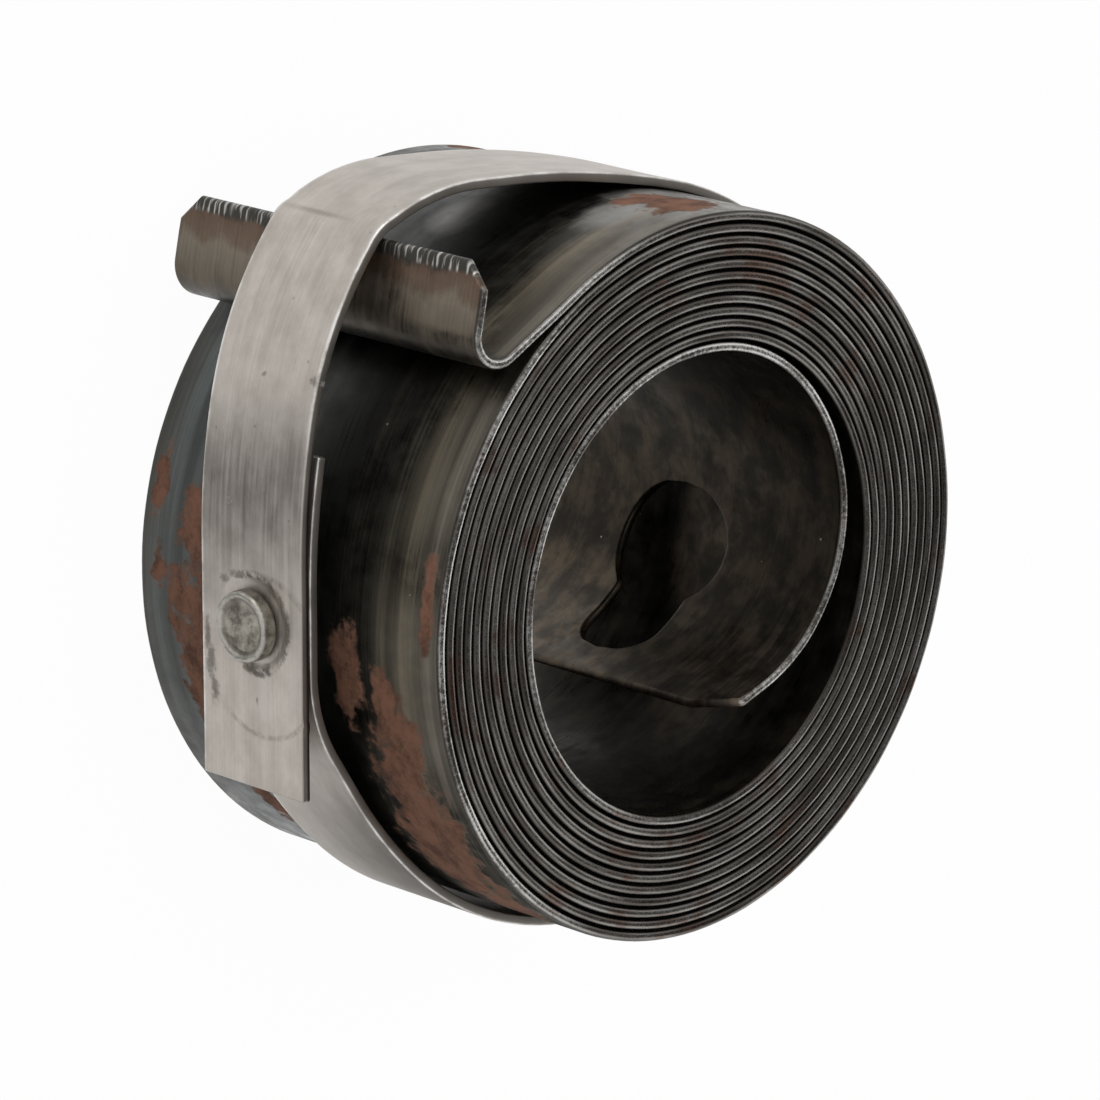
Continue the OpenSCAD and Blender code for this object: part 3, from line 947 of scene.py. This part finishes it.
@dataclass(frozen=True)
class StrapFinish:
    """Soft rolled aluminium with fine lengthwise lines, painted highlights on its corners, grimy patches
    round the rivet, and painted shade along its crease, its dents' rims and the gap along the tail.
    """

    pale: Colour = (0.535, 0.495, 0.455)
    dull: Colour = (0.43, 0.392, 0.354)
    # Dark brown of the grime, and of the painted shade on the crease and the dents' rims
    grime_and_shade: Colour = (0.13, 0.112, 0.09)
    side: Colour = (0.3, 0.275, 0.25)
    # Painted shade, with grime, in the gap between the tail and the layer beneath
    tail_gap_shade: Colour = (0.06, 0.045, 0.038)
    # Painted highlight on the corners
    corner_highlight: Colour = (0.76, 0.745, 0.72)
    edge_fade: Fade = (-0.16, -0.05)
    tail_fade: Fade = (-14.0, -4.0)
    seam_fade: Fade = (0.02, -0.16)
    corner_out_fade: Fade = (-0.18, -0.04)
    corner_up_fade: Fade = (-0.34, -0.12)
    ring_along_fade: Fade = (0.4, 1.4)
    ring_height_fade: Fade = (-2.9, -1.6)

    def build(self, effects: SharedEffects, strap: "RetainingStrap") -> bpy.types.Material:
        """Builds the material.

        Args:
            effects: Shared node groups.
            strap: The strap, which knows where its grimy patches, its crease and its dents lie.

        Returns:
            The finished material.
        """
        material, board, shader = new_material("strap_metal")
        along, height, out, point = strip_place(board)
        place = (along, height)
        rolled = board.group(effects.rolled, Along=along, Height=height, Seed=8.0)
        streaks, lines, mottle = (rolled.outputs[name] for name in ("Streaks", "Lines", "Mottle"))
        grit = board.noise(point, 1.6, 4.0, 0.68)

        # The rolled face
        colour = board.blend(board.spread(mottle, 0.3, 0.7), self.dull, self.pale)
        shade = board.spread(lines, 0.3, 0.7, 0.9, 1.04)
        colour = board.shaded(colour, board.plus(shade, board.spread(streaks, 0.3, 0.7, -0.06, 0.06)))

        # Grime, painted shade along the fold and along one side of the rims of the tool's round dents, and
        # specks
        reach = patches_reach(board, effects.patch, place, strap.grime_patches())
        ragged = board.times(board.minus(grit, 0.5), 2.4)
        soiled = board.spread(board.plus(reach, ragged), 0.0, 0.8)
        colour = board.blend(board.times(soiled, 0.6), colour, self.grime_and_shade)
        # Painted shade along the fold
        crease_shade = board.spread(patches_reach(board, effects.patch, place, (strap.crease_shade(),)), 0.0, 0.9)
        colour = board.blend(board.times(crease_shade, 0.4), colour, self.grime_and_shade)
        # Painted shade along one side of the rim of each of the tool's round dents
        for ring, width, strength in strap.ring_dent_shade_lines():
            off_ring = board.math("ABSOLUTE", patches_reach(board, effects.patch, place, (ring,)))
            line = board.spread(off_ring, width, width * 0.25)
            line = board.times(line, board.spread(grit, 0.42, 0.6, 0.1, strength))
            line = board.times(line, board.past(along, strap.tail_at, self.ring_along_fade))
            line = board.times(line, board.past(height, strap.middle(), self.ring_height_fade))
            side = board.math("GREATER_THAN", height, ring.height - ring.length * strap.ring_open)
            beyond = board.math("GREATER_THAN", along, strap.tail_at + strap.arc_from)
            colour = board.blend(board.times(line, board.larger(side, beyond)), colour, self.grime_and_shade)
        specks = board.group(effects.dust, Along=along, Height=height, Spacing=2.3, Size=0.11, Seed=4.0)
        colour = board.blend(board.times(specks.outputs["Mask"], 0.35), colour, self.grime_and_shade)

        # Edges: dull sides, painted shade in the gap along the tail and a painted highlight on the corners
        half = strap.width / 2
        off_middle = board.math("ABSOLUTE", board.minus(height, strap.middle()))
        edge = board.past(off_middle, half, self.edge_fade)
        colour = board.blend(board.times(edge, 0.8), colour, self.side)
        # Painted shade, with grime, in the gap between the tail and the layer beneath
        on_tail = board.past(along, strap.tail_at, self.tail_fade)
        gap_shade = board.times(on_tail, board.spread(out, *self.seam_fade))
        colour = board.blend(board.times(edge, gap_shade), colour, self.tail_gap_shade)
        # Painted highlight along the corners, left off the tail's upper half
        corner = board.times(board.past(out, strap.thickness / 2, self.corner_out_fade),
                             board.past(off_middle, half, self.corner_up_fade))
        highlight_and_wear = board.times(corner, board.spread(mottle, 0.38, 0.6, 0.15, 0.85))
        below = board.math("LESS_THAN", height, strap.middle())
        highlight_and_wear = board.times(highlight_and_wear, board.larger(board.minus(1.0, on_tail), below))
        colour = board.blend(highlight_and_wear, colour, self.corner_highlight)
        board.feed(shader.inputs["Base Color"], colour)

        # Gloss and relief
        board.feed(shader.inputs["Metallic"], board.spread(soiled, 0.0, 1.0, 0.95, 0.3))
        smooth = board.spread(mottle, 0.3, 0.7, 0.42, 0.47)
        smooth = board.plus(smooth, board.spread(lines, 0.3, 0.7, -0.05, 0.05))
        board.feed(shader.inputs["Roughness"], board.spread(soiled, 0.0, 1.0, smooth, 0.75))
        board.relief(shader, board.plus(board.times(lines, 0.6), mottle), 0.25, 0.04)
        return material


@dataclass
class RetainingStrap:
    """The strap that keeps the spring wound; its two ends lap under the rivet. Sizes are in millimetres."""

    width: float = 10.0
    thickness: float = 0.7
    base: float = 10.4
    reach: float = 26.4
    under: tuple[Step, ...] = (
        Step(26.4, -122.0), Step(37.0, -14.0), Step(0.0, 3.797), Step(11.5, -32.5), Step(0.0, 5.6),
        Step(50.0, -10.886),
    )
    over: tuple[Step, ...] = (
        Step(26.4, 85.3), Step(80.0, 12.0), Step(0.0, 3.055), Step(17.0, 24.6), Step(0.0, 1.301),
        Step(3.2, 30.6), Step(0.0, 0.979), Step(25.0, 28.0), Step(50.0, 11.0),
    )
    tail: Step = Step(0.0, 16.4)
    rivet_along: float = 4.823
    rivet_hole: float = 1.75
    dent_reach: float = 3.45
    dent_from: float = 0.5
    dent_offset: tuple[float, float] = (-0.15, 0.25)
    dent_depth: float = 0.2
    dent_slope: float = 0.16
    ring_open: float = 0.35
    arc_mark: tuple[float, float, float] = (6.845, 16.406, 5.71)
    arc_from: float = 10.4
    arc_depth: float = 0.07
    arc_width: float = 0.2
    groove_above: float = 3.7
    groove_slant: float = 0.02
    groove_width: float = 0.16
    groove_depth: float = 0.04
    groove_span: tuple[float, float] = (-3.0, 12.0)
    groove_fade: float = 2.0
    crease_back: float = 23.9
    crease_slant: float = 0.15
    crease_width: float = 0.5
    crease_depth: float = 0.1
    crease_share: float = 0.6
    unevenness: float = 0.05
    uneven_after: float = 20.0
    rounding: float = 0.13
    segments: int = 3
    columns: int = 50
    stride: float = 0.4
    bend: float = 2.0
    fine_stride: float = 0.2
    fine_before: float = 2.0
    least_gap: float = 0.08

    def __post_init__(self) -> None:
        """Lays the strap's run from its inner layer's end to the tail's end."""
        under = Run(Place(self.reach, 0.0, -90.0), self.under).turned()
        self.lap_length = under.length()
        self.run = Run(under.start, under.steps + self.over + (self.tail,))
        self.tail_at = self.run.length() - self.tail.length()

    def middle(self) -> float:
        """Height of the strap's middle line."""
        return self.base + self.width / 2

    def rivet_place(self) -> Place:
        """Place of the rivet on the tail."""
        return self.run.at(self.tail_at + self.rivet_along)

    def seat_along(self) -> float:
        """Length along the strap at which the inner layer lies under the rivet."""
        return self.under[-1].length() + self.under[-2].length() / 2

    def grime_patches(self) -> tuple[Patch, ...]:
        """Grime by length from the tail's start, height, half length and half width."""
        seen = (
            (7.9, 15.3, 0.45, 0.5), (7.7, 16.9, 0.6, 0.7), (8.2, 16.2, 0.3, 0.9), (8.4, 11.3, 1.5, 0.6),
            (10.2, 11.6, 1.4, 0.6), (6.4, 11.0, 1.4, 0.4), (1.5, 14.2, 0.35, 1.2), (2.2, 12.7, 0.5, 0.6),
            (-12.4, 15.2, 0.3, 0.3), (-12.7, 20.1, 0.4, 0.5), (-3.4, 13.2, 0.4, 0.4), (10.1, 15.9, 0.5, 0.2),
        )
        return tuple(Patch(self.tail_at + ahead, *sizes) for ahead, *sizes in seen)

    def crease_shade(self) -> Patch:
        """Patch of painted shade along the soft crease where the strap was bent over the hook."""
        return Patch(self.tail_at - self.crease_back, self.base + 3.6, 0.4, 4.2)

    def ring_dent_shade_lines(self) -> tuple[tuple[Patch, float, float], ...]:
        """Round marks of the riveting tool, each with its line's share of the radius and its strength; each
        line is painted shade along one side of the mark's rim.
        """
        along = self.tail_at + self.rivet_along + self.dent_offset[0]
        around = Patch(along, self.middle() + self.dent_offset[1], self.dent_reach, self.dent_reach)
        ahead, height, radius = self.arc_mark
        arc = Patch(self.tail_at + ahead, height, radius, radius)
        return (around, 0.1, 0.75), (arc, 0.06, 0.4)

    def dent(self, along: float, height: float) -> float:
        """Depth of the tool's marks at a point of the strap.

        Args:
            along: Length along the strap.
            height: Height of the point.

        Returns:
            How far the metal is pushed in, in millimetres.
        """
        ahead = along - self.tail_at
        above = height - self.middle()
        near = math.hypot(ahead - self.rivet_along - self.dent_offset[0], above - self.dent_offset[1])
        depth = 0.0
        if ahead > self.dent_from:
            depth = self.dent_depth * held((1.0 - near / self.dent_reach) / self.dent_slope)
        if ahead > self.arc_from:
            arc = math.hypot(ahead - self.arc_mark[0], height - self.arc_mark[1]) - self.arc_mark[2]
            depth += self.arc_depth * math.exp(-((arc / self.arc_width) ** 2))
        groove = (above - self.groove_above - self.groove_slant * ahead) / self.groove_width
        first, last = self.groove_span
        within = held(min(ahead - first, last - ahead) / self.groove_fade)
        depth += self.groove_depth * math.exp(-(groove**2)) * within
        crease = (ahead + self.crease_back - self.crease_slant * above) / self.crease_width
        depth += self.crease_depth * math.exp(-(crease**2)) * held(self.crease_share - above / self.width)
        return depth

    def wobble(self, along: float, height: float) -> float:
        """Slight unevenness of the hand-bent strap in millimetres."""
        reach = min(1.0, (along - self.lap_length) / self.uneven_after)
        return reach * self.unevenness * noise.noise(Vector((along * 0.12, height * 0.2, 7.0)))

    def build(self, effects: SharedEffects) -> bpy.types.Object:
        """Builds and dresses the strap.

        Args:
            effects: Shared node groups.

        Returns:
            The finished piece.
        """
        sheet = Sheet(self.run)
        rows = [self.base + self.width * k / self.columns for k in range(self.columns + 1)]
        fine_count = round((self.tail.length() + self.fine_before) / self.fine_stride)
        fine = [self.tail_at - self.fine_before + self.fine_stride * k for k in range(fine_count)]
        stations = thinned(self.run.stations(self.stride, self.bend) + fine, self.least_gap)
        sheet.roll(stations, lambda along: rows)
        sheet.close()
        mesh, layer = sheet.mesh, sheet.along
        holes = (self.seat_along(), self.tail_at + self.rivet_along)
        inside = []
        for vert in mesh.verts:
            along, height = vert[layer], vert.co.z / MM
            outward = self.run.at(along).outward()
            if any(math.hypot(along - hole, height - self.middle()) < self.rivet_hole for hole in holes):
                inside.append(vert)
            if along > self.lap_length:
                vert.co += (self.wobble(along, height) - self.dent(along, height)) * MM * outward
        bmesh.ops.delete(mesh, geom=inside, context="VERTS")
        finish = StrapFinish().build(effects, self)
        return sheet.metal("strap_band", finish, self.thickness, self.rounding, self.segments)


# The rivet


@dataclass(frozen=True)
class RivetFinish:
    """Dull aluminium, dented and smeared by the riveting tool, with a painted highlight on its lip and
    painted shade in the dip inside it.
    """

    pale: Colour = (0.36, 0.34, 0.295)
    dull: Colour = (0.15, 0.138, 0.115)
    # Lighter lip: painted highlight
    lip: Colour = (0.43, 0.412, 0.38)
    # Dark brown of the pits
    grime_and_shade: Colour = (0.07, 0.062, 0.05)
    lip_inner_fade: Fade = (-0.12, 0.08)
    lip_outer_fade: Fade = (0.0, -0.12)
    ditch_inner_fade: Fade = (-0.45, -0.2)
    ditch_outer_fade: Fade = (0.02, -0.15)

    def build(self, middle: Vector, axis: Vector, dish: float, rim: float) -> bpy.types.Material:
        """Builds the material.

        Args:
            middle: A point of the rivet's axis in millimetres.
            axis: Direction of the axis.
            dish: Radius of the dished face in millimetres.
            rim: Radius of the head in millimetres.

        Returns:
            The finished material.
        """
        material, board, shader = new_material("rivet_metal")
        point = board.point()
        cloud = board.noise(point, 0.9, 5.0, 0.65)
        grit = board.noise(point, 4.0, 4.0, 0.7)
        colour = board.blend(board.spread(cloud, 0.35, 0.62), self.dull, self.pale)
        pits = board.spread(grit, 0.55, 0.7)
        colour = board.blend(board.times(pits, 0.6), colour, self.grime_and_shade)

        # The lip, lighter as a painted highlight, and painted shade in the ditch inside it, by distance from
        # the axis
        arm = board.add("ShaderNodeVectorMath", operation="SUBTRACT")
        board.feed(arm.inputs[0], point)
        arm.inputs[1].default_value = middle
        across = board.add("ShaderNodeVectorMath", operation="CROSS_PRODUCT")
        board.feed(across.inputs[0], arm.outputs[0])
        across.inputs[1].default_value = axis
        length = board.add("ShaderNodeVectorMath", operation="LENGTH")
        board.feed(length.inputs[0], across.outputs[0])
        reach = length.outputs["Value"]
        lip = board.times(board.past(reach, dish, self.lip_inner_fade),
                          board.past(reach, rim, self.lip_outer_fade))
        lip = board.times(lip, board.spread(grit, 0.4, 0.65, 0.9, 0.5))
        colour = board.blend(lip, colour, self.lip)
        # Painted shade in the ditch inside the lip
        ditch_shade = board.times(board.past(reach, dish, self.ditch_inner_fade),
                            board.past(reach, dish, self.ditch_outer_fade))
        colour = board.blend(board.times(ditch_shade, 0.55), colour, self.dull)
        board.feed(shader.inputs["Base Color"], colour)
        shader.inputs["Metallic"].default_value = 0.9
        board.feed(shader.inputs["Roughness"], board.spread(cloud, 0.3, 0.7, 0.52, 0.34))
        board.relief(shader, board.plus(cloud, board.times(grit, 0.25)), 0.5, 0.12)
        return material


@dataclass
class StrapRivet:
    """The rivet: a dished outer head with a lip, a shank and a flat inner head. Sizes are in millimetres."""

    head: float = 5.0
    head_height: float = 1.1
    rim: float = 0.28
    lip: float = 0.2
    dish: float = 0.3
    shank: float = 3.0
    foot: float = 4.4
    foot_height: float = 0.7
    seat: float = 0.35
    foot_seat: float = -1.15
    foot_chamfer: float = 0.12
    lump_height: float = 0.06
    pit_height: float = 0.04
    lump_spread: float = 0.02
    steps: int = 72
    join_within: float = 0.001

    def outline(self) -> list[tuple[float, float]]:
        """Half outline from the middle of the inner head to the middle of the outer head.

        Returns:
            Distances from the axis and heights along it.
        """
        top = self.seat + self.head_height
        head, foot, shank = self.head / 2, self.foot / 2, self.shank / 2
        base = self.foot_seat - self.foot_height
        rim_middle = head - self.rim
        inside = rim_middle - self.lip
        points = [
            (0.0, base), (foot - self.foot_chamfer, base), (foot, base + self.foot_chamfer),
            (foot, self.foot_seat), (shank, self.foot_seat), (shank, self.seat),
            (head - 0.06, self.seat), (head, self.seat + 0.1),
        ]
        for angle in range(0, 100, 10):
            across, up = math.cos(math.radians(angle)), math.sin(math.radians(angle))
            points.append((rim_middle + self.rim * across, top - self.rim + self.rim * up))
        points += [(inside + 0.12, top - 0.03), (inside, top - self.dish * 0.4)]
        points += [(inside - 0.15, top - self.dish * 0.85)]
        floor = ((0.8, 1.0), (0.68, 0.97), (0.55, 0.9), (0.42, 0.83), (0.28, 0.78), (0.14, 0.75), (0.0, 0.75))
        return points + [(inside * share, top - self.dish * depth) for share, depth in floor]

    def build(self, place: Place, height: float) -> bpy.types.Object:
        """Builds and dresses the rivet.

        Args:
            place: Place on the strap's tail.
            height: Height of the rivet's axis.

        Returns:
            The finished piece.
        """
        mesh = bmesh.new()
        verts = [mesh.verts.new((reach, 0.0, level)) for reach, level in self.outline()]
        edges = [mesh.edges.new(pair) for pair in zip(verts, verts[1:])]
        bmesh.ops.spin(mesh, geom=verts + edges, cent=(0, 0, 0), axis=(0, 0, 1), dvec=(0, 0, 0),
                       angle=2 * math.pi, steps=self.steps, use_merge=True)
        bmesh.ops.remove_doubles(mesh, verts=mesh.verts[:], dist=self.join_within)
        bmesh.ops.recalc_face_normals(mesh, faces=mesh.faces[:])
        for vert in mesh.verts:
            if vert.co.z > self.seat + 0.3:
                lump = noise.noise(vert.co * 0.9 + Vector((3.0, 1.0, 0.0)))
                pit = noise.noise(vert.co * 2.3)
                vert.co.z += self.lump_height * lump + self.pit_height * pit
                vert.co.xy *= 1 + self.lump_spread * lump
        outward = place.outward()
        turn = Vector((0.0, 0.0, 1.0)).rotation_difference(outward).to_matrix().to_4x4()
        where = Matrix.Translation(place.point(height)) @ turn @ Matrix.Scale(MM, 4)
        bmesh.ops.transform(mesh, matrix=where, verts=mesh.verts[:])
        dish = self.head / 2 - self.rim - self.lip
        finish = RivetFinish().build(place.point(height) / MM, outward, dish, self.head / 2)
        return new_piece("rivet_heads", mesh, finish)


# Floor, light and camera


def sees_white(board: Board) -> Socket:
    """Value that is 1 on the rays that see plain white.

    Args:
        board: Board of the floor's or the world's nodes.

    Returns:
        The value.
    """
    path = board.add("ShaderNodeLightPath")
    seen: Socket = path.outputs[Side.CAMERA.value]
    for side in (Side.GLOSSY, Side.TRANSMISSION):
        seen = board.larger(seen, path.outputs[side.value])
    return seen


@dataclass
class Studio:
    """White floor and surroundings, soft lamps, and the camera of the photograph."""

    target: Vector = Vector((0.025, -0.695, 15.168))
    distance: float = 429.065
    azimuth: float = -100.7525
    elevation: float = 42.6625
    roll: float = 105.654
    lens: float = 198.3845
    sensor: float = 36.0
    floor_size: float = 4.0
    floor_white: float = 0.97
    card_grey: float = 0.04
    world_level: float = 0.55

    def axes(self) -> tuple[Vector, Vector, Vector]:
        """Directions to the right, up and back in the camera's view."""
        turn, rise = math.radians(self.azimuth), math.radians(self.elevation)
        back = Vector((math.sin(turn) * math.cos(rise), -math.cos(turn) * math.cos(rise), math.sin(rise)))
        level = Vector((math.cos(turn), math.sin(turn), 0.0))
        over = back.cross(level)
        tilt = math.radians(self.roll)
        right = level * math.cos(tilt) + over * math.sin(tilt)
        return right, back.cross(right), back

    def build_camera(self) -> None:
        """Sets up the camera."""
        right, up, back = self.axes()
        data = bpy.data.cameras.new("view")
        data.lens = self.lens
        data.sensor_fit = "AUTO"
        data.sensor_width = self.sensor
        data.clip_start = 0.01
        camera = bpy.data.objects.new("view", data)
        turn = Matrix((right, up, back)).transposed().to_4x4()
        camera.matrix_world = Matrix.Translation((self.target + self.distance * back) * MM) @ turn
        bpy.context.scene.collection.objects.link(camera)
        bpy.context.scene.camera = camera

    def build_floor(self) -> None:
        """Lays the white floor, which keeps a faint shadow."""
        mesh = bmesh.new()
        bmesh.ops.create_grid(mesh, x_segments=1, y_segments=1, size=self.floor_size / 2)
        material, board, shader = new_material("floor")
        shader.inputs["Base Color"].default_value = (0.85, 0.85, 0.85, 1.0)
        shader.inputs["Roughness"].default_value = 0.9
        shader.inputs["Specular IOR Level"].default_value = 0.0
        glow = board.add("ShaderNodeEmission")
        glow.inputs["Strength"].default_value = 1.0
        mix = board.add("ShaderNodeMixShader")
        board.feed(mix.inputs[0], board.times(sees_white(board), self.floor_white))
        board.feed(mix.inputs[1], shader.outputs[0])
        board.feed(mix.inputs[2], glow.outputs[0])
        board.feed(material.node_tree.nodes["Material Output"].inputs["Surface"], mix.outputs[0])
        new_piece("floor", mesh, material)

    def build_world(self) -> None:
        """Makes the surroundings white to the eye and to reflections, and softer as a light."""
        world = bpy.data.worlds.new("studio")
        world.use_nodes = True
        bpy.context.scene.world = world
        board = Board(world.node_tree)
        back = world.node_tree.nodes["Background"]
        back.inputs["Color"].default_value = (1.0, 1.0, 1.0, 1.0)
        board.feed(back.inputs["Strength"], board.spread(sees_white(board), 0.0, 1.0, self.world_level, 1.0))

    def build_lamp(self, name: str, place: tuple[float, float, float], size: float, power: float) -> None:
        """Hangs one soft lamp, turned to the object.

        Args:
            name: Name of the lamp.
            place: Place to the right of, above and in front of the object as seen by the camera, in metres.
            size: Side of the lamp in metres.
            power: Power in watts.
        """
        right, up, back = self.axes()
        data = bpy.data.lights.new(name, "AREA")
        data.size = size
        data.energy = power
        lamp = bpy.data.objects.new(name, data)
        offset = place[0] * right + place[1] * up + place[2] * back
        lamp.location = self.target * MM + offset
        lamp.rotation_euler = offset.to_track_quat("Z", "Y").to_euler()
        bpy.context.scene.collection.objects.link(lamp)

    def build_card(self, name: str, middle: Vector, facing: Vector, size: tuple[float, float]) -> None:
        """Sets up a dark card that shows only in reflections.

        Args:
            name: Name of the card.
            middle: Its middle in millimetres.
            facing: Direction in which it faces.
            size: Its two sides in millimetres.
        """
        mesh = bmesh.new()
        bmesh.ops.create_grid(mesh, x_segments=1, y_segments=1, size=0.5)
        turn = facing.to_track_quat("Z", "Y").to_matrix().to_4x4()
        scale = Matrix.Diagonal((size[0] * MM, size[1] * MM, 1.0, 1.0))
        bmesh.ops.transform(mesh, matrix=Matrix.Translation(middle * MM) @ turn @ scale, verts=mesh.verts[:])
        material, _, shader = new_material(name)
        shader.inputs["Base Color"].default_value = (self.card_grey, self.card_grey, self.card_grey, 1.0)
        shader.inputs["Roughness"].default_value = 0.9
        card = new_piece(name, mesh, material)
        card.visible_camera = False
        card.visible_diffuse = False
        card.visible_shadow = False
        card.visible_transmission = False

    def build(self) -> None:
        """Sets up the whole studio."""
        bpy.context.scene.view_settings.view_transform = "Standard"
        self.build_camera()
        self.build_floor()
        self.build_world()
        level = Vector((0.0, 0.0, 1.0))
        self.build_card("card_over", Vector((150.0, 0.0, 300.0)), -level, (600.0, 400.0))
        self.build_card("card_left", Vector((-56.0, -3.5, 0.2)), level, (38.0, 15.0))
        self.build_card("card_below", Vector((0.0, -48.0, 0.2)), level, (60.0, 24.0))
        self.build_lamp("overhead", (-0.1, 0.5, 0.25), 0.5, 2.2)
        self.build_lamp("fill", (0.45, 0.1, 0.45), 0.4, 0.8)


def main() -> None:
    """Builds the studio and the three pieces."""
    logging.basicConfig(level=logging.INFO, format="%(name)s: %(message)s")
    Studio().build()
    effects = SharedEffects()
    spring = SpiralSpring()
    strap = RetainingStrap()
    pieces = (
        (spring.build(effects), ("spiral_spring", "inner_loop"), "spring_steel"),
        (strap.build(effects), ("retaining_strap",), "strap_metal"),
        (StrapRivet().build(strap.rivet_place(), strap.middle()), ("strap_rivet",), "rivet_metal"),
    )
    for piece, nodes, slot in pieces:
        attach(piece, "root")
        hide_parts(*nodes)
        LOG.info("%s stands for %s", piece.name, ", ".join(nodes))


if __name__ == "__main__":
    main()
